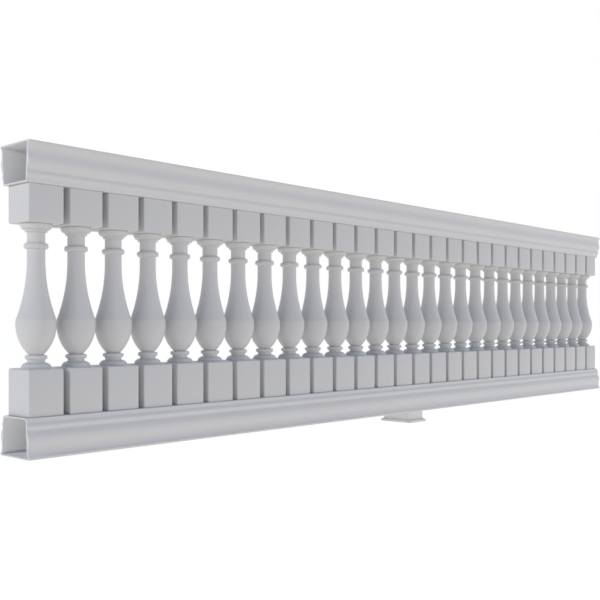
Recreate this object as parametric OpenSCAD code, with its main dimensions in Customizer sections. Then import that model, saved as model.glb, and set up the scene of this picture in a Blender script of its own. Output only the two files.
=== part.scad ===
// Balustrade section: two moulded hollow rails, a row of turned balusters and a support foot.
// Millimetres, +Z up, X along the run. The origin is at the middle of the foot's underside.

/* [Run] */
// Spacing of the balusters along the run
baluster_pitch = 130.6; // [124:0.1:160]
// How far the rails run on past the outer blocks
rail_end = 11.8; // [4:0.1:40]

/* [Rails] */
// Height of each rail
rail_height = 113.5; // [106:0.5:130]
// Width of each rail across its lips
rail_width = 153.5; // [146:0.5:190]
// Thickness of the rail's wall at the band and the lip
rail_wall = 4; // [2:0.5:5]
// Radius of the rail's outer corners
rail_corner = 3; // [1:0.25:4]
// Height of the plain band that the balusters meet
band_height = 10.5; // [6:0.5:14]
// Inset of the band behind the lip
band_inset = 14.5; // [11:0.5:18]
// Height over which the bead swells out of the band
bead_height = 12.5; // [8:0.5:16]
// How far the bead stands out of the band
bead_out = 6; // [3:0.25:7]
// Height over which the bead falls back into the groove
groove_height = 11.5; // [8:0.5:14]
// Depth of the groove behind the bead
groove_depth = 3; // [1:0.25:5]
// Height over which the ovolo swells out to its crown
ovolo_height = 23.5; // [18:0.5:28]
// Inset of the ovolo's crown behind the lip
ovolo_inset = 2.25; // [0:0.25:5]
// Height of the ogee from the ovolo's crown to the bed of the cove
ogee_height = 29; // [24:0.5:34]
// Inset of the cove's bed behind the lip
cove_inset = 7.25; // [5:0.25:10]
// Height of the lip
lip_height = 8.5; // [7:0.25:12]
// Radius of the lip's inner edge
lip_round = 2; // [0.5:0.25:3]
// Height over which the hollow widens into the lip
flare_height = 9.5; // [4:0.5:14]

/* [Baluster blocks] */
// Side of the square blocks
block_side = 110; // [98:0.5:118]
// Height of the lower block
lower_block_height = 133.2; // [100:0.1:160]
// Height of the upper block
upper_block_height = 106.6; // [80:0.1:130]
// Radius of the blocks' upright edges
block_edge = 3; // [1:0.25:6]
// Radius of the blocks' level edges beside the shaft
block_shoulder = 6; // [1:0.25:8]
// Radius of the blocks' level edges beside the rail
block_seat_edge = 2; // [0.5:0.25:4]

/* [Turned shaft] */
// Height of the shaft between the blocks
shaft_height = 406; // [392:1:460]
// Radius of the base moulding on the lower block
base_radius = 42; // [38:0.5:48]
// Height of the base moulding
base_height = 15.8; // [12:0.1:20]
// Radius of the short neck over the base moulding
base_neck_radius = 24.4; // [20:0.1:28]
// Height of the short neck over the base moulding
base_neck_height = 8.2; // [3:0.1:10]
// Radius of the lower ring
lower_ring_radius = 31.1; // [29:0.1:38]
// Height of the lower ring
lower_ring_height = 12.8; // [8:0.1:18]
// Radius of the waist under the belly
waist_radius = 20.5; // [17:0.25:22]
// Height of the waist
waist_height = 2.2; // [1:0.1:6]
// Radius of the belly's foot over the waist
belly_foot_radius = 22.3; // [22:0.1:28]
// Radius of the belly
belly_radius = 56.1; // [50:0.1:60]
// Level of the belly's widest part above the lower block
belly_level = 123; // [112:1:142]
// Height of the crease over the belly's widest part
crease_height = 14; // [4:0.5:16]
// Slope of the shoulder where it leaves the crease, in degrees from upright
shoulder_slope = 20; // [14:0.5:24]
// Radius of the long neck
neck_radius = 25.1; // [21:0.1:29]
// Level above the lower block at which the shoulder has narrowed to the neck
neck_level = 312; // [270:1:320]
// Radius of the upper ring
upper_ring_radius = 34; // [31:0.5:39]
// Height of the upper ring
upper_ring_height = 17; // [12:0.1:22]
// Depth of the upper ring's middle below the upper block
upper_ring_drop = 62.2; // [52:0.1:66]
// Radius of the fillet under the collar
fillet_radius = 31.1; // [29:0.1:36]
// Height of the fillet under the collar
fillet_height = 5.4; // [3:0.1:8]
// Radius of the collar under the upper block
collar_radius = 44.5; // [38:0.5:48]
// Height of the collar
collar_height = 17.3; // [14:0.1:26]
// Radius of the collar's upper edge
collar_edge = 2.2; // [0.5:0.1:4]

/* [Support foot] */
// Height of the foot under the bottom rail
foot_height = 45.4; // [34:0.1:80]
// Length of the foot's base plate along the run
foot_base_length = 116; // [108:1:150]
// Depth of the foot's base plate across the run
foot_base_depth = 155; // [146:1:190]
// Thickness of the foot's base plate
foot_base_height = 9.6; // [4:0.1:14]
// Length of the foot's neck along the run
foot_neck_length = 98; // [80:1:104]
// Depth of the foot's neck across the run
foot_neck_depth = 133; // [110:1:140]
// Height of the cove between the base plate and the neck
foot_cove_height = 9; // [4:0.5:14]
// Radius of the foot's upright edges
foot_edge = 3; // [1:0.25:5]

/* [Hidden] */
$fn = 64;

// How far a shaft and a cutting shape run on into or past the solid beside them
overrun = 2;

baluster_count = 28;
rail_length = (baluster_count - 1) * baluster_pitch + block_side + 2 * rail_end;
bottom_rail_top = foot_height + rail_height;
shaft_bottom = bottom_rail_top + lower_block_height;
upper_block_bottom = shaft_bottom + shaft_height;
top_rail_bottom = upper_block_bottom + upper_block_height;

// Levels and half widths of the rail's mouldings, counted from the band's face toward the lip
bead_level = band_height + bead_height;
groove_level = bead_level + groove_height;
crown_level = groove_level + ovolo_height;
cove_level = crown_level + ogee_height;
lip_start = rail_height - lip_height;
lip_half = rail_width / 2;
band_half = lip_half - band_inset;
bead_half = band_half + bead_out;
groove_half = bead_half - groove_depth;
crown_half = lip_half - ovolo_inset;
cove_half = lip_half - cove_inset;
edge_half = lip_half - lip_round;
moulding_steps = 8;
// Power that makes the ovolo swell close to the groove
ovolo_power = 0.7;

// Radius and place of the arc that makes the belly, and of the sweep over its crease
waist_level = base_height + base_neck_height + lower_ring_height;
belly_foot_level = waist_level + waist_height;
bulb_height = belly_level - belly_foot_level;
bulb_swell = belly_radius - belly_foot_radius;
bulb_radius = (pow(bulb_height, 2) + pow(bulb_swell, 2)) / (2 * bulb_swell);
bulb_angle = asin(bulb_height / bulb_radius);
crease_angle = asin(crease_height / bulb_radius);
crease_level = belly_level + crease_height;
crease_radius = belly_radius - bulb_radius * (1 - cos(crease_angle));
shoulder_height = neck_level - crease_level;
shoulder_swell = crease_radius - neck_radius;
// Power of the shoulder's sweep that gives it its slope at the crease
shoulder_power = tan(shoulder_slope) * shoulder_height / shoulder_swell;
lower_ring_level = waist_level - lower_ring_height / 2;
upper_ring_level = shaft_height - upper_ring_drop;
// Power that makes the rings a little fuller than half an ellipse
ring_fullness = 0.8;
collar_level = shaft_height - collar_height;
fillet_level = collar_level - fillet_height;

// Points of a curve between two half widths without a corner, that swells early for a power below 1
function eased(from, to, level, height, power = 1) = [
    for (i = [0 : moulding_steps - 1]) [
        from + (to - from) * (1 - cos(180 * pow(i / moulding_steps, power))) / 2,
        level + height * i / moulding_steps
    ]
];

// Half outline of the rail, from the band's face to the lip's
rail_side = concat(
    [for (a = [0 : 30 : 90]) [band_half - rail_corner * (1 - sin(a)), rail_corner * (1 - cos(a))]],
    eased(band_half, bead_half, band_height, bead_height),
    eased(bead_half, groove_half, bead_level, groove_height),
    eased(groove_half, crown_half, groove_level, ovolo_height, ovolo_power),
    eased(crown_half, cove_half, crown_level, ogee_height),
    [for (t = [0 : 1 / moulding_steps : 1])
        [cove_half + (edge_half - cove_half) * pow(t, 2), cove_level + (lip_start - cove_level) * t]],
    [for (a = [30 : 30 : 90]) [edge_half + lip_round * sin(a), lip_start + lip_round * (1 - cos(a))]],
    [for (a = [0 : 30 : 90]) [lip_half - rail_corner * (1 - cos(a)), rail_height - rail_corner * (1 - sin(a))]]
);

// Half outline of the plain hollow, that widens into the lip
hollow_side = [
    [band_half - rail_wall, rail_wall],
    [cove_half - rail_wall, rail_height - rail_wall - flare_height],
    [lip_half - rail_wall, rail_height - rail_wall]
];

// Closed outline from one side of it
function both_sides(side) = concat(side, [for (i = [len(side) - 1 : -1 : 0]) [-side[i][0], side[i][1]]]);

module along_run(length) {
    translate([-length / 2, 0, 0])
        rotate([90, 0, 90])
            linear_extrude(length)
                children();
}

// Rail with its band's face at level 0 and its lips above
module moulded_rail() {
    difference() {
        along_run(rail_length)
            polygon(both_sides(rail_side));
        along_run(rail_length + 2 * overrun)
            polygon(both_sides(hollow_side));
    }
}

module top_rail() {
    color("gainsboro")
        translate([0, 0, top_rail_bottom])
            moulded_rail();
}

module bottom_rail() {
    color("gainsboro")
        translate([0, 0, bottom_rail_top])
            mirror([0, 0, 1])
                moulded_rail();
}

// Side of a block on the x axis, centred on y, rounded more at its top than at its foot
module block_face(height) {
    union() {
        translate([-block_side / 2, block_seat_edge])
            square([block_side, height - block_seat_edge - block_shoulder]);
        translate([block_seat_edge - block_side / 2, 0])
            square([block_side - 2 * block_seat_edge, height / 2]);
        translate([block_shoulder - block_side / 2, height / 2])
            square([block_side - 2 * block_shoulder, height / 2]);
        for (side = [-1, 1]) {
            translate([side * (block_side / 2 - block_seat_edge), block_seat_edge])
                circle(block_seat_edge);
            translate([side * (block_side / 2 - block_shoulder), height - block_shoulder])
                circle(block_shoulder);
        }
    }
}

// Rectangle about the origin with all four corners rounded
module rounded_plan(length, depth, radius) {
    union() {
        square([length, depth - 2 * radius], center = true);
        square([length - 2 * radius, depth], center = true);
        for (x = [-1, 1], y = [-1, 1])
            translate([x * (length / 2 - radius), y * (depth / 2 - radius)])
                circle(radius);
    }
}

// Square block standing on level 0, rounded on its upright edges and round its top and foot
module block(height) {
    intersection() {
        linear_extrude(height)
            rounded_plan(block_side, block_side, block_edge);
        along_run(block_side + 2 * overrun)
            block_face(height);
        rotate([0, 0, 90])
            along_run(block_side + 2 * overrun)
                block_face(height);
    }
}

// Half outline of a ring that stands out of a core
function ring(core, radius, level, height) = [
    for (a = [-90 : 18 : 90]) [
        core + (radius - core) * pow(cos(a), ring_fullness),
        level + height / 2 * sign(a) * pow(abs(sin(a)), ring_fullness)
    ]
];

shaft_profile = concat(
    [[0, -overrun], [base_radius, -overrun]],
    [for (a = [0 : 15 : 90]) [
        base_neck_radius + (base_radius - base_neck_radius) * cos(a),
        base_height * sin(a)
    ]],
    ring(base_neck_radius, lower_ring_radius, lower_ring_level, lower_ring_height),
    [[waist_radius, waist_level], [waist_radius, belly_foot_level]],
    [for (t = [0 : 1 / 12 : 1]) [
        belly_radius - bulb_radius * (1 - cos(bulb_angle - (bulb_angle + crease_angle) * t)),
        belly_level - bulb_radius * sin(bulb_angle - (bulb_angle + crease_angle) * t)
    ]],
    [for (i = [1 : 12]) [
        neck_radius + shoulder_swell * pow(1 - i / 12, shoulder_power),
        crease_level + shoulder_height * i / 12
    ]],
    ring(neck_radius, upper_ring_radius, upper_ring_level, upper_ring_height),
    [[neck_radius, fillet_level], [fillet_radius, fillet_level]],
    [for (a = [0 : 15 : 90]) [
        fillet_radius + (collar_radius - fillet_radius) * sin(a),
        collar_level + (collar_height - collar_edge) * (1 - cos(a))
    ]],
    [for (a = [30 : 30 : 90]) [
        collar_radius - collar_edge * (1 - cos(a)),
        shaft_height - collar_edge * (1 - sin(a))
    ]],
    [[collar_radius - collar_edge, shaft_height + overrun], [0, shaft_height + overrun]]
);

// Baluster counted from the run's left end
module baluster(number) {
    color("whitesmoke")
        translate([(number - (baluster_count + 1) / 2) * baluster_pitch, 0, 0])
            union() {
                translate([0, 0, bottom_rail_top])
                    block(lower_block_height);
                translate([0, 0, shaft_bottom])
                    rotate_extrude()
                        polygon(shaft_profile);
                translate([0, 0, top_rail_bottom])
                    mirror([0, 0, 1])
                        block(upper_block_height);
            }
}

// Half outline of the foot seen along one side: base plate, cove and neck
function foot_side(base, neck) = concat(
    [[base / 2, 0]],
    [for (a = [0 : 15 : 90]) [
        base / 2 - (base - neck) / 2 * sin(a),
        foot_base_height + foot_cove_height * (1 - cos(a))
    ]],
    [[neck / 2, foot_height]]
);

module support_foot() {
    color("gainsboro")
        intersection() {
            along_run(foot_base_length)
                polygon(both_sides(foot_side(foot_base_depth, foot_neck_depth)));
            rotate([0, 0, 90])
                along_run(foot_base_depth)
                    polygon(both_sides(foot_side(foot_base_length, foot_neck_length)));
            linear_extrude(foot_height)
                rounded_plan(foot_base_length, foot_base_depth, foot_edge);
        }
}

top_rail();
bottom_rail();
support_foot();
baluster(1);  // baluster_01
baluster(2);  // baluster_02
baluster(3);  // baluster_03
baluster(4);  // baluster_04
baluster(5);  // baluster_05
baluster(6);  // baluster_06
baluster(7);  // baluster_07
baluster(8);  // baluster_08
baluster(9);  // baluster_09
baluster(10);  // baluster_10
baluster(11);  // baluster_11
baluster(12);  // baluster_12
baluster(13);  // baluster_13
baluster(14);  // baluster_14
baluster(15);  // baluster_15
baluster(16);  // baluster_16
baluster(17);  // baluster_17
baluster(18);  // baluster_18
baluster(19);  // baluster_19
baluster(20);  // baluster_20
baluster(21);  // baluster_21
baluster(22);  // baluster_22
baluster(23);  // baluster_23
baluster(24);  // baluster_24
baluster(25);  // baluster_25
baluster(26);  // baluster_26
baluster(27);  // baluster_27
baluster(28);  // baluster_28
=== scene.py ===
"""Looks of the balustrade section: moulded rails, turned balusters, support foot, studio and camera."""
import math

import bmesh
import bpy
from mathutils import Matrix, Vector


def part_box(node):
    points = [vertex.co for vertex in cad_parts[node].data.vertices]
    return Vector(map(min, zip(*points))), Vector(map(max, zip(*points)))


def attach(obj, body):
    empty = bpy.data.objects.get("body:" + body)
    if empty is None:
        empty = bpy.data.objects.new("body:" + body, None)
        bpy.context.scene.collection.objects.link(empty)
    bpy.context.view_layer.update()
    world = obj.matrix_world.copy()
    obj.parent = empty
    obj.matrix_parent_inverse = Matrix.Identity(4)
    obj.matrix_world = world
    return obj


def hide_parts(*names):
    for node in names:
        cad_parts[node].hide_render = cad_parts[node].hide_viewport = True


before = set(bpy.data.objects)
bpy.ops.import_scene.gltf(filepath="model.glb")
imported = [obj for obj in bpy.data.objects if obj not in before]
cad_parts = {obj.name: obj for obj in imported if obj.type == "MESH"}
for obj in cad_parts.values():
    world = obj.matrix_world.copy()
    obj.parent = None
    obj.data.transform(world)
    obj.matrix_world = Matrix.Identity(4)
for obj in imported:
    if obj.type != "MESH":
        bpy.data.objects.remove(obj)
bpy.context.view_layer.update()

MM = 0.001
TAU = 2 * math.pi

# Sizes that the nodes' boxes give
rail_low, rail_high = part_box("top_rail")
baluster_low, baluster_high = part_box("baluster_01")
foot_low, foot_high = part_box("support_foot")
RAIL_LENGTH = rail_high.x - rail_low.x
RAIL_WIDTH = rail_high.y - rail_low.y
RAIL_HEIGHT = rail_high.z - rail_low.z
BALUSTER_HEIGHT = baluster_high.z - baluster_low.z
BALUSTERS = sorted(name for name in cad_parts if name.startswith("baluster_"))

# Mouldings of the rail, from the band that meets the balusters to the lip
RAIL_WALL = 4 * MM
RAIL_CORNER = 3 * MM
BAND_HEIGHT = 10.5 * MM
BAND_INSET = 14.5 * MM
BEAD_HEIGHT = 12.5 * MM
BEAD_OUT = 6 * MM
GROOVE_HEIGHT = 11.5 * MM
GROOVE_DEPTH = 3 * MM
OVOLO_HEIGHT = 23.5 * MM
OVOLO_POWER = 0.7
OVOLO_INSET = 2.25 * MM
OGEE_HEIGHT = 29 * MM
COVE_INSET = 7.25 * MM
LIP_HEIGHT = 8.5 * MM
LIP_ROUND = 2 * MM
FLARE_HEIGHT = 9.5 * MM
END_ROUND = 0.6 * MM
RAIL_CURVE_STEPS = 14
RAIL_ROUND_STEPS = 6

# Blocks of a baluster
BLOCK_SIDE = 110 * MM
LOWER_BLOCK_HEIGHT = 133.2 * MM
UPPER_BLOCK_HEIGHT = 106.6 * MM
BLOCK_EDGE = 3 * MM
BLOCK_EDGE_LEAST = 1 * MM
BLOCK_SHOULDER = 6 * MM
BLOCK_SEAT_EDGE = 2 * MM
BLOCK_SHOULDER_STEPS = 7
BLOCK_SEAT_STEPS = 3
CORNER_STEPS = 5

# Turned shaft of a baluster, with levels from the top of the lower block
SHAFT_HEIGHT = BALUSTER_HEIGHT - LOWER_BLOCK_HEIGHT - UPPER_BLOCK_HEIGHT
SHAFT_SIDES = 64
BASE_RADIUS = 42 * MM
BASE_HEIGHT = 15.8 * MM
BASE_NECK_RADIUS = 24.4 * MM
BASE_NECK_HEIGHT = 8.2 * MM
BASE_STEPS = 12
LOWER_RING_RADIUS = 31.1 * MM
LOWER_RING_HEIGHT = 12.8 * MM
WAIST_RADIUS = 20.5 * MM
WAIST_HEIGHT = 2.2 * MM
BELLY_FOOT_RADIUS = 22.3 * MM
BELLY_RADIUS = 56.1 * MM
BELLY_LEVEL = 123 * MM
BELLY_STEPS = 24
CREASE_HEIGHT = 14 * MM
SHOULDER_SLOPE = math.radians(20)
SHOULDER_STEPS = 24
NECK_RADIUS = 25.1 * MM
NECK_LEVEL = 312 * MM
UPPER_RING_RADIUS = 34 * MM
UPPER_RING_HEIGHT = 17 * MM
UPPER_RING_DROP = 62.2 * MM
RING_FULLNESS = 0.8
RING_STEPS = 16
FILLET_RADIUS = 31.1 * MM
FILLET_HEIGHT = 5.4 * MM
COLLAR_RADIUS = 44.5 * MM
COLLAR_HEIGHT = 17.3 * MM
COLLAR_EDGE = 2.2 * MM
COLLAR_STEPS = 12
COLLAR_EDGE_STEPS = 6

# Support foot
FOOT_BASE_HEIGHT = 9.6 * MM
FOOT_COVE_HEIGHT = 9 * MM
FOOT_NECK_LENGTH = 98 * MM
FOOT_NECK_DEPTH = 133 * MM
FOOT_EDGE = 3 * MM
FOOT_SOFTENING = 0.8 * MM
FOOT_COVE_STEPS = 7

# Shading: corners above this angle stay sharp, and vertices this near a level lie on it
SHARP_ANGLE = math.radians(30)
LEVEL_MATCH = 0.01 * MM

# Plastic: cloudy tone, sheen and moulded skin
CLOUD_SCALE = 3.0
CLOUD_DETAIL = 4.0
CLOUD_DARK_END = 0.3
CLOUD_LIGHT_END = 0.7
SHEEN_SPREAD = 0.03
SKIN_SCALE = 220.0
SKIN_DETAIL = 2.0
SKIN_STRENGTH = 0.04
SKIN_DEPTH = 0.4 * MM
SPECULAR = 0.25

# Floor, and the light that comes from each direction
FLOOR_REACH = 40.0
FLOOR_MATTE = (0.22, 0.22, 0.22)
FLOOR_SEEN = 0.94
SKY_LEFT = (0.42, 0.47, 0.56)
SKY_FRONT = (0.47, 0.515, 0.60)
SKY_RIGHT = (1.44, 1.475, 1.54)
SKY_BACK = (0.10, 0.115, 0.14)
SKY_BACK_FULL = 0.6
SKY_TOP = (0.13, 0.17, 0.255)
GROUND_FAR = (1.365, 1.314, 1.272)
GROUND_UNDER = (0.455, 0.44, 0.426)

# Lamps: places in metres and powers in watts
LEFT_LAMP = (-5.2, 0.3, 1.7)
LEFT_POWER = 44.0
RIGHT_LAMP = (3.6, -1.8, 0.4)
RIGHT_POWER = 5.0
LAMP_SIZE = 0.8
LAMP_COLOUR = (0.94, 0.97, 1.0)

# Camera: focal length and horizon in pixels of a square picture, place from the rail's left end and axis
PICTURE = 600
FOCAL = 872.5
HORIZON = 324.68
CAMERA_LEFT = 1.2466
CAMERA_FRONT = 2.2132
CAMERA_HEIGHT = 0.4145
CAMERA_TURN = math.radians(42.485)
SENSOR_WIDTH = 36
CLIP_END = 200


# Tools for meshes

def quarter(steps):
    """Angles from zero to a right angle."""
    return [math.pi / 2 * k / steps for k in range(steps + 1)]


def add_band(bm, low, high):
    """Ring of faces between two rows of vertices."""
    count = len(low)
    for i in range(count):
        j = (i + 1) % count
        bm.faces.new((low[i], low[j], high[j], high[i]))


def add_loft(bm, loops):
    """Faces between loops of equal length, open at both ends."""
    rows = [[bm.verts.new(p) for p in loop] for loop in loops]
    for low, high in zip(rows, rows[1:]):
        add_band(bm, low, high)
    return rows


def finish_mesh(bm, name, *materials):
    """Mesh with smooth shading between its corners."""
    mesh = bpy.data.meshes.new(name)
    bm.to_mesh(mesh)
    bm.free()
    for material in materials:
        mesh.materials.append(material)
    mesh.shade_smooth()
    mesh.set_sharp_from_angle(angle=SHARP_ANGLE)
    return mesh


def sharpen_level(mesh, level):
    """Keeps a corner in the shading along the ring of edges at one level."""
    for edge in mesh.edges:
        if all(abs(mesh.vertices[i].co.z - level) < LEVEL_MATCH for i in edge.vertices):
            edge.use_edge_sharp = True


def rounded_loop(half_x, half_y, radius, z):
    """Rectangle with round corners at one level, anticlockwise from above."""
    points = []
    for corner, (sx, sy) in enumerate(((1, 1), (-1, 1), (-1, -1), (1, -1))):
        for k in range(CORNER_STEPS + 1):
            a = (corner + k / CORNER_STEPS) * math.pi / 2
            x = sx * (half_x - radius) + radius * math.cos(a)
            y = sy * (half_y - radius) + radius * math.sin(a)
            points.append(Vector((x, y, z)))
    return points


def circle_loop(radius, z):
    angles = [TAU * i / SHAFT_SIDES for i in range(SHAFT_SIDES)]
    return [Vector((radius * math.cos(a), radius * math.sin(a), z)) for a in angles]


# Baluster

def block_loops(height):
    """Square block standing on level 0, rounded on its upright edges and round its foot and top."""
    half = BLOCK_SIDE / 2
    loops = []
    for a in quarter(BLOCK_SEAT_STEPS):
        inset = BLOCK_SEAT_EDGE * (1 - math.sin(a))
        z = BLOCK_SEAT_EDGE * (1 - math.cos(a))
        loops.append(rounded_loop(half - inset, half - inset, BLOCK_EDGE, z))
    for a in quarter(BLOCK_SHOULDER_STEPS):
        inset = BLOCK_SHOULDER * (1 - math.cos(a))
        radius = max(BLOCK_EDGE - inset / 2, BLOCK_EDGE_LEAST)
        z = height - BLOCK_SHOULDER * (1 - math.sin(a))
        loops.append(rounded_loop(half - inset, half - inset, radius, z))
    return loops


def base_points():
    """Quarter round from the lower block up to the base's neck."""
    points = []
    for a in quarter(BASE_STEPS):
        radius = BASE_NECK_RADIUS + (BASE_RADIUS - BASE_NECK_RADIUS) * math.cos(a)
        points.append((radius, BASE_HEIGHT * math.sin(a)))
    return points


def ring_points(core, radius, level, height):
    """Full ring round a core, with its middle at one level."""
    points = []
    for k in range(RING_STEPS + 1):
        a = math.pi * (k / RING_STEPS - 0.5)
        out = max(0.0, math.cos(a)) ** RING_FULLNESS
        rise = math.copysign(abs(math.sin(a)) ** RING_FULLNESS, a)
        points.append((core + (radius - core) * out, level + height / 2 * rise))
    return points


def vase_points(foot_level):
    """Bulb from its foot up to the crease, then the shoulder that runs out into the neck."""
    rise = BELLY_LEVEL - foot_level
    swell = BELLY_RADIUS - BELLY_FOOT_RADIUS
    bulb = (rise ** 2 + swell ** 2) / (2 * swell)
    foot_angle = math.asin(rise / bulb)
    crease_angle = math.asin(CREASE_HEIGHT / bulb)
    points = []
    for k in range(BELLY_STEPS + 1):
        a = foot_angle - (foot_angle + crease_angle) * k / BELLY_STEPS
        points.append((BELLY_RADIUS - bulb * (1 - math.cos(a)), BELLY_LEVEL - bulb * math.sin(a)))
    crease_level = BELLY_LEVEL + CREASE_HEIGHT
    height = NECK_LEVEL - crease_level
    spread = BELLY_RADIUS - bulb * (1 - math.cos(crease_angle)) - NECK_RADIUS
    power = math.tan(SHOULDER_SLOPE) * height / spread
    for k in range(1, SHOULDER_STEPS + 1):
        s = k / SHOULDER_STEPS
        points.append((NECK_RADIUS + spread * (1 - s) ** power, crease_level + height * s))
    return points


def collar_points():
    """Fillet and collar under the upper block."""
    collar_level = SHAFT_HEIGHT - COLLAR_HEIGHT
    fillet_level = collar_level - FILLET_HEIGHT
    points = [(NECK_RADIUS, fillet_level), (FILLET_RADIUS, fillet_level)]
    for a in quarter(COLLAR_STEPS):
        radius = FILLET_RADIUS + (COLLAR_RADIUS - FILLET_RADIUS) * math.sin(a)
        points.append((radius, collar_level + (COLLAR_HEIGHT - COLLAR_EDGE) * (1 - math.cos(a))))
    for a in quarter(COLLAR_EDGE_STEPS)[1:]:
        radius = COLLAR_RADIUS - COLLAR_EDGE * (1 - math.cos(a))
        points.append((radius, SHAFT_HEIGHT - COLLAR_EDGE * (1 - math.sin(a))))
    return points


def shaft_points():
    """Radius and level of the turned shaft from the lower block up to the upper one."""
    waist_level = BASE_HEIGHT + BASE_NECK_HEIGHT + LOWER_RING_HEIGHT
    belly_foot_level = waist_level + WAIST_HEIGHT
    lower_level = waist_level - LOWER_RING_HEIGHT / 2
    upper_level = SHAFT_HEIGHT - UPPER_RING_DROP
    points = base_points()
    points += ring_points(BASE_NECK_RADIUS, LOWER_RING_RADIUS, lower_level, LOWER_RING_HEIGHT)
    points += [(WAIST_RADIUS, waist_level), (WAIST_RADIUS, belly_foot_level)]
    points += vase_points(belly_foot_level)
    points += ring_points(NECK_RADIUS, UPPER_RING_RADIUS, upper_level, UPPER_RING_HEIGHT)
    points += collar_points()
    return points


def add_flat(bm, outer, inner):
    """Level faces between a block's edge and the end of the shaft on it."""
    edges = [bm.edges.get((loop[i - 1], loop[i])) for loop in (outer, inner) for i in range(len(loop))]
    bmesh.ops.triangle_fill(bm, use_beauty=True, edges=edges)


def baluster_skin():
    """One closed skin round the lower block, the shaft and the upper block."""
    shaft_loops = [circle_loop(radius, LOWER_BLOCK_HEIGHT + level) for radius, level in shaft_points()]
    upper_loops = [
        [Vector((p.x, -p.y, BALUSTER_HEIGHT - p.z)) for p in loop]
        for loop in block_loops(UPPER_BLOCK_HEIGHT)
    ]
    bm = bmesh.new()
    lower = add_loft(bm, block_loops(LOWER_BLOCK_HEIGHT))
    shaft = add_loft(bm, shaft_loops)
    upper = add_loft(bm, upper_loops)
    for seat in (lower[0], upper[0]):
        bm.faces.new(seat)
    add_flat(bm, lower[-1], shaft[0])
    add_flat(bm, upper[-1], shaft[-1])
    bmesh.ops.recalc_face_normals(bm, faces=bm.faces)
    return bm


# Rail

def eased(start, stop, level, height, power=1):
    """Curve without a corner between two half widths, early for a power below 1."""
    points = []
    for k in range(RAIL_CURVE_STEPS):
        s = k / RAIL_CURVE_STEPS
        turn = (1 - math.cos(math.pi * s ** power)) / 2
        points.append((start + (stop - start) * turn, level + height * s))
    return points


def rail_side():
    """Half width and level along the rail's outline, from the band's face to the lip's."""
    lip = RAIL_WIDTH / 2
    band = lip - BAND_INSET
    bead = band + BEAD_OUT
    groove = bead - GROOVE_DEPTH
    crown = lip - OVOLO_INSET
    cove = lip - COVE_INSET
    edge = lip - LIP_ROUND
    bead_level = BAND_HEIGHT + BEAD_HEIGHT
    groove_level = bead_level + GROOVE_HEIGHT
    crown_level = groove_level + OVOLO_HEIGHT
    cove_level = crown_level + OGEE_HEIGHT
    lip_level = RAIL_HEIGHT - LIP_HEIGHT
    rounding = quarter(RAIL_ROUND_STEPS)
    side = [(band - RAIL_CORNER * (1 - math.sin(a)), RAIL_CORNER * (1 - math.cos(a))) for a in rounding]
    side += eased(band, bead, BAND_HEIGHT, BEAD_HEIGHT)
    side += eased(bead, groove, bead_level, GROOVE_HEIGHT)
    side += eased(groove, crown, groove_level, OVOLO_HEIGHT, OVOLO_POWER)
    side += eased(crown, cove, crown_level, OGEE_HEIGHT)
    for k in range(RAIL_CURVE_STEPS + 1):
        s = k / RAIL_CURVE_STEPS
        side.append((cove + (edge - cove) * s ** 2, cove_level + (lip_level - cove_level) * s))
    for a in rounding[1:]:
        side.append((edge + LIP_ROUND * math.sin(a), lip_level + LIP_ROUND * (1 - math.cos(a))))
    for a in rounding:
        half = lip - RAIL_CORNER * (1 - math.cos(a))
        side.append((half, RAIL_HEIGHT - RAIL_CORNER * (1 - math.sin(a))))
    return side


def hollow_half(level):
    """Half width of the plain hollow, that widens into the lip."""
    lip = RAIL_WIDTH / 2 - RAIL_WALL
    ceiling = RAIL_HEIGHT - RAIL_WALL
    flare = ceiling - FLARE_HEIGHT
    if level < flare:
        return lip - BAND_INSET + (BAND_INSET - COVE_INSET) * (level - RAIL_WALL) / (flare - RAIL_WALL)
    return lip - COVE_INSET * (ceiling - level) / FLARE_HEIGHT


def section(side, x, flip):
    """Closed outline across the rail, from one side and its mirror image."""
    right = [Vector((x, half, flip * level)) for half, level in side]
    left = [Vector((x, -half, flip * level)) for half, level in reversed(side)]
    return right + left


def rail_skin(flip):
    """Hollow rail about the origin, its band's face at level 0 and its lips up (flip 1) or down (flip -1)."""
    outer = rail_side()
    drawn_in = 1 - 2 * END_ROUND / RAIL_HEIGHT
    near = [(half - END_ROUND, END_ROUND + level * drawn_in) for half, level in outer]
    inner_levels = [RAIL_WALL + level * (1 - 2 * RAIL_WALL / RAIL_HEIGHT) for half, level in outer]
    inner = [(hollow_half(level), level) for level in inner_levels]
    end = RAIL_LENGTH / 2
    loops = [
        section(near, -end, flip),
        section(outer, -end + END_ROUND, flip),
        section(outer, end - END_ROUND, flip),
        section(near, end, flip),
        section(inner, end, flip),
        section(inner, -end, flip),
    ]
    bm = bmesh.new()
    rows = add_loft(bm, loops)
    add_band(bm, rows[-1], rows[0])
    bmesh.ops.recalc_face_normals(bm, faces=bm.faces)
    # Inner faces get the second, lighter plastic: painted light over the shade inside the hollow.
    painted_light_verts = set(rows[-2] + rows[-1])
    for face in bm.faces:
        face.material_index = int(painted_light_verts.issuperset(face.verts))
    return bm


# Foot

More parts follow.
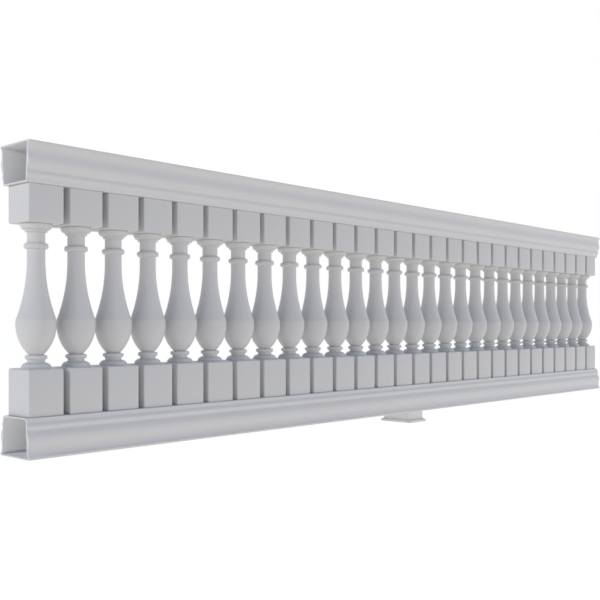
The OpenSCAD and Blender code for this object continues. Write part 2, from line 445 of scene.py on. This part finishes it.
def foot_skin():
    """Base plate with softened edges, a hollow slope and the neck under the rail."""
    half_x = (foot_high.x - foot_low.x) / 2
    half_y = (foot_high.y - foot_low.y) / 2
    neck_x = FOOT_NECK_LENGTH / 2
    neck_y = FOOT_NECK_DEPTH / 2
    soft = FOOT_SOFTENING
    loops = [
        rounded_loop(half_x - soft, half_y - soft, FOOT_EDGE, 0),
        rounded_loop(half_x, half_y, FOOT_EDGE, soft),
        rounded_loop(half_x, half_y, FOOT_EDGE, FOOT_BASE_HEIGHT - soft),
        rounded_loop(half_x - soft, half_y - soft, FOOT_EDGE, FOOT_BASE_HEIGHT),
    ]
    for a in quarter(FOOT_COVE_STEPS)[1:]:
        out = 1 - math.sin(a)
        x = neck_x + (half_x - neck_x) * out
        y = neck_y + (half_y - neck_y) * out
        loops.append(rounded_loop(x, y, FOOT_EDGE, FOOT_BASE_HEIGHT + FOOT_COVE_HEIGHT * (1 - math.cos(a))))
    loops.append(rounded_loop(neck_x, neck_y, FOOT_EDGE, foot_high.z))
    bm = bmesh.new()
    rows = add_loft(bm, loops)
    bm.faces.new(list(reversed(rows[0])))
    bm.faces.new(rows[-1])
    return bm


# Materials

def plastic(name, light, dark, roughness):
    """White moulded plastic: faint cloudy tone, uneven sheen and a fine moulded skin."""
    material = bpy.data.materials.new(name)
    material.use_nodes = True
    nodes, links = material.node_tree.nodes, material.node_tree.links
    shader = nodes["Principled BSDF"]
    shader.inputs["Specular IOR Level"].default_value = SPECULAR
    place = nodes.new("ShaderNodeTexCoord")

    cloud = nodes.new("ShaderNodeTexNoise")
    cloud.inputs["Scale"].default_value = CLOUD_SCALE
    cloud.inputs["Detail"].default_value = CLOUD_DETAIL
    links.new(place.outputs["Object"], cloud.inputs["Vector"])
    tone = nodes.new("ShaderNodeValToRGB")
    tone.color_ramp.elements[0].position = CLOUD_DARK_END
    tone.color_ramp.elements[0].color = (*dark, 1)
    tone.color_ramp.elements[1].position = CLOUD_LIGHT_END
    tone.color_ramp.elements[1].color = (*light, 1)
    links.new(cloud.outputs["Fac"], tone.inputs["Fac"])
    links.new(tone.outputs["Color"], shader.inputs["Base Color"])

    sheen = nodes.new("ShaderNodeMapRange")
    sheen.inputs["To Min"].default_value = roughness - SHEEN_SPREAD
    sheen.inputs["To Max"].default_value = roughness + SHEEN_SPREAD
    links.new(cloud.outputs["Fac"], sheen.inputs["Value"])
    links.new(sheen.outputs["Result"], shader.inputs["Roughness"])

    skin = nodes.new("ShaderNodeTexNoise")
    skin.inputs["Scale"].default_value = SKIN_SCALE
    skin.inputs["Detail"].default_value = SKIN_DETAIL
    links.new(place.outputs["Object"], skin.inputs["Vector"])
    bump = nodes.new("ShaderNodeBump")
    bump.inputs["Strength"].default_value = SKIN_STRENGTH
    bump.inputs["Distance"].default_value = SKIN_DEPTH
    links.new(skin.outputs["Fac"], bump.inputs["Height"])
    links.new(bump.outputs["Normal"], shader.inputs["Normal"])
    return material


rail_plastic = plastic("rail_plastic", (0.70, 0.70, 0.70), (0.685, 0.685, 0.69), 0.38)
# The hollow's inside takes a lighter plastic than the outside: painted light that stands in for light the
# hollow does not get.
hollow_painted_light = plastic("hollow_painted_light", (0.95, 0.95, 0.95), (0.94, 0.94, 0.94), 0.5)
baluster_plastic = plastic("baluster_plastic", (0.655, 0.655, 0.655), (0.637, 0.637, 0.642), 0.36)
foot_plastic = plastic("foot_plastic", (0.765, 0.765, 0.765), (0.75, 0.75, 0.755), 0.42)


# Pieces

def add_piece(name, mesh, location, node):
    """Piece that takes the place of a node, at rest with the root."""
    piece = bpy.data.objects.new(name, mesh)
    bpy.context.scene.collection.objects.link(piece)
    piece.location = location
    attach(piece, "root")
    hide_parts(node)


shared_baluster = finish_mesh(baluster_skin(), "baluster", baluster_plastic)
sharpen_level(shared_baluster, LOWER_BLOCK_HEIGHT + BELLY_LEVEL + CREASE_HEIGHT)
for node in BALUSTERS:
    low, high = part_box(node)
    seat = ((low.x + high.x) / 2, (low.y + high.y) / 2, low.z)
    add_piece(node + "_turned", shared_baluster, seat, node)

top_mesh = finish_mesh(rail_skin(1), "top_rail_moulding", rail_plastic, hollow_painted_light)
add_piece("top_rail_moulding", top_mesh, (0, 0, rail_low.z), "top_rail")
bottom_mesh = finish_mesh(rail_skin(-1), "bottom_rail_moulding", rail_plastic, hollow_painted_light)
add_piece("bottom_rail_moulding", bottom_mesh, (0, 0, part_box("bottom_rail")[1].z), "bottom_rail")
foot_mesh = finish_mesh(foot_skin(), "support_foot", foot_plastic)
add_piece("support_foot_moulding", foot_mesh, (0, 0, 0), "support_foot")


# Studio

def seen_directly(nodes, links):
    """One for what the camera sees, by itself, in gloss or through glass, and zero for light that is shed."""
    path = nodes.new("ShaderNodeLightPath")
    gloss = nodes.new("ShaderNodeMath")
    gloss.operation = "MAXIMUM"
    links.new(path.outputs["Is Camera Ray"], gloss.inputs[0])
    links.new(path.outputs["Is Glossy Ray"], gloss.inputs[1])
    glass = nodes.new("ShaderNodeMath")
    glass.operation = "MAXIMUM"
    links.new(gloss.outputs[0], glass.inputs[0])
    links.new(path.outputs["Is Transmission Ray"], glass.inputs[1])
    return glass.outputs[0]


def floor_material():
    """Pale table: white to the eye, with the object's soft shadow on it."""
    material = bpy.data.materials.new("floor_white")
    material.use_nodes = True
    nodes, links = material.node_tree.nodes, material.node_tree.links
    nodes.clear()
    matte = nodes.new("ShaderNodeBsdfDiffuse")
    matte.inputs["Color"].default_value = (*FLOOR_MATTE, 1)
    strength = nodes.new("ShaderNodeMath")
    strength.operation = "MULTIPLY"
    strength.inputs[1].default_value = FLOOR_SEEN
    links.new(seen_directly(nodes, links), strength.inputs[0])
    white = nodes.new("ShaderNodeEmission")
    links.new(strength.outputs[0], white.inputs["Strength"])
    both = nodes.new("ShaderNodeAddShader")
    links.new(white.outputs[0], both.inputs[0])
    links.new(matte.outputs[0], both.inputs[1])
    out = nodes.new("ShaderNodeOutputMaterial")
    links.new(both.outputs[0], out.inputs["Surface"])
    return material


def studio_floor():
    """Floor that lets the soft light from below through to the object."""
    reach = FLOOR_REACH
    corners = [(-reach, -reach, 0), (reach, -reach, 0), (reach, reach, 0), (-reach, reach, 0)]
    bm = bmesh.new()
    bm.faces.new([bm.verts.new(corner) for corner in corners])
    floor = bpy.data.objects.new("floor", finish_mesh(bm, "floor", floor_material()))
    bpy.context.scene.collection.objects.link(floor)
    floor.visible_diffuse = False
    floor.visible_shadow = False


def sky_colour(nodes, links, direction):
    """Sky that is brightest to the right, dim behind, and dim and bluish overhead."""
    across = nodes.new("ShaderNodeMapRange")
    across.inputs["From Min"].default_value = -1
    links.new(direction.outputs["X"], across.inputs["Value"])
    sides = nodes.new("ShaderNodeValToRGB")
    sides.color_ramp.elements[0].color = (*SKY_LEFT, 1)
    sides.color_ramp.elements[1].color = (*SKY_RIGHT, 1)
    middle = sides.color_ramp.elements.new(0.5)
    middle.color = (*SKY_FRONT, 1)
    links.new(across.outputs["Result"], sides.inputs["Fac"])

    behind = nodes.new("ShaderNodeMapRange")
    behind.inputs["From Max"].default_value = SKY_BACK_FULL
    links.new(direction.outputs["Y"], behind.inputs["Value"])
    around = nodes.new("ShaderNodeMixRGB")
    around.inputs["Color2"].default_value = (*SKY_BACK, 1)
    links.new(behind.outputs["Result"], around.inputs["Fac"])
    links.new(sides.outputs["Color"], around.inputs["Color1"])

    upward = nodes.new("ShaderNodeMixRGB")
    upward.inputs["Color2"].default_value = (*SKY_TOP, 1)
    links.new(direction.outputs["Z"], upward.inputs["Fac"])
    links.new(around.outputs["Color"], upward.inputs["Color1"])
    return upward.outputs["Color"]


def ground_colour(nodes, links, direction):
    """Light from below that is bright far out and dim straight underneath."""
    depth = nodes.new("ShaderNodeMapRange")
    depth.inputs["From Max"].default_value = -1
    links.new(direction.outputs["Z"], depth.inputs["Value"])
    ground = nodes.new("ShaderNodeMixRGB")
    ground.inputs["Color1"].default_value = (*GROUND_FAR, 1)
    ground.inputs["Color2"].default_value = (*GROUND_UNDER, 1)
    links.new(depth.outputs["Result"], ground.inputs["Fac"])
    return ground.outputs["Color"]


def studio_world():
    """Soft surround of sky and ground, white where it is seen directly."""
    world = bpy.data.worlds.new("studio")
    bpy.context.scene.world = world
    world.use_nodes = True
    nodes, links = world.node_tree.nodes, world.node_tree.links
    nodes.clear()
    place = nodes.new("ShaderNodeTexCoord")
    direction = nodes.new("ShaderNodeSeparateXYZ")
    links.new(place.outputs["Generated"], direction.inputs[0])

    below = nodes.new("ShaderNodeMath")
    below.operation = "LESS_THAN"
    below.inputs[1].default_value = 0
    links.new(direction.outputs["Z"], below.inputs[0])
    whole = nodes.new("ShaderNodeMixRGB")
    links.new(below.outputs[0], whole.inputs["Fac"])
    links.new(sky_colour(nodes, links, direction), whole.inputs["Color1"])
    links.new(ground_colour(nodes, links, direction), whole.inputs["Color2"])
    soft = nodes.new("ShaderNodeBackground")
    links.new(whole.outputs["Color"], soft.inputs["Color"])

    white = nodes.new("ShaderNodeBackground")
    white.inputs["Color"].default_value = (1, 1, 1, 1)
    mix = nodes.new("ShaderNodeMixShader")
    links.new(seen_directly(nodes, links), mix.inputs["Fac"])
    links.new(soft.outputs[0], mix.inputs[1])
    links.new(white.outputs[0], mix.inputs[2])
    out = nodes.new("ShaderNodeOutputWorld")
    links.new(mix.outputs[0], out.inputs["Surface"])


def soft_lamp(name, place, power, end):
    """Soft lamp aimed at half height of one end of the run, with no glare along the rail."""
    data = bpy.data.lights.new(name, "AREA")
    data.size = LAMP_SIZE
    data.energy = power
    data.color = LAMP_COLOUR
    lamp = bpy.data.objects.new(name, data)
    lamp.location = place
    lamp.visible_glossy = False
    aim = Vector((end, 0, rail_low.z / 2))
    lamp.rotation_euler = (aim - lamp.location).to_track_quat("-Z", "Y").to_euler()
    bpy.context.scene.collection.objects.link(lamp)


def photo_camera():
    """Level camera, with the horizon moved by a shift so that upright edges stay upright."""
    data = bpy.data.cameras.new("camera")
    data.sensor_width = SENSOR_WIDTH
    data.sensor_fit = "HORIZONTAL"
    data.lens = FOCAL / PICTURE * SENSOR_WIDTH
    data.shift_y = (HORIZON - PICTURE / 2) / PICTURE
    data.clip_end = CLIP_END
    camera = bpy.data.objects.new("camera", data)
    camera.location = (rail_low.x - CAMERA_LEFT, -CAMERA_FRONT, CAMERA_HEIGHT)
    camera.rotation_euler = (math.pi / 2, 0, CAMERA_TURN - math.pi / 2)
    bpy.context.scene.collection.objects.link(camera)
    bpy.context.scene.camera = camera


studio_floor()
studio_world()
soft_lamp("left_lamp", LEFT_LAMP, LEFT_POWER, rail_low.x)
soft_lamp("right_lamp", RIGHT_LAMP, RIGHT_POWER, rail_high.x)
photo_camera()
bpy.context.scene.view_settings.view_transform = "Standard"
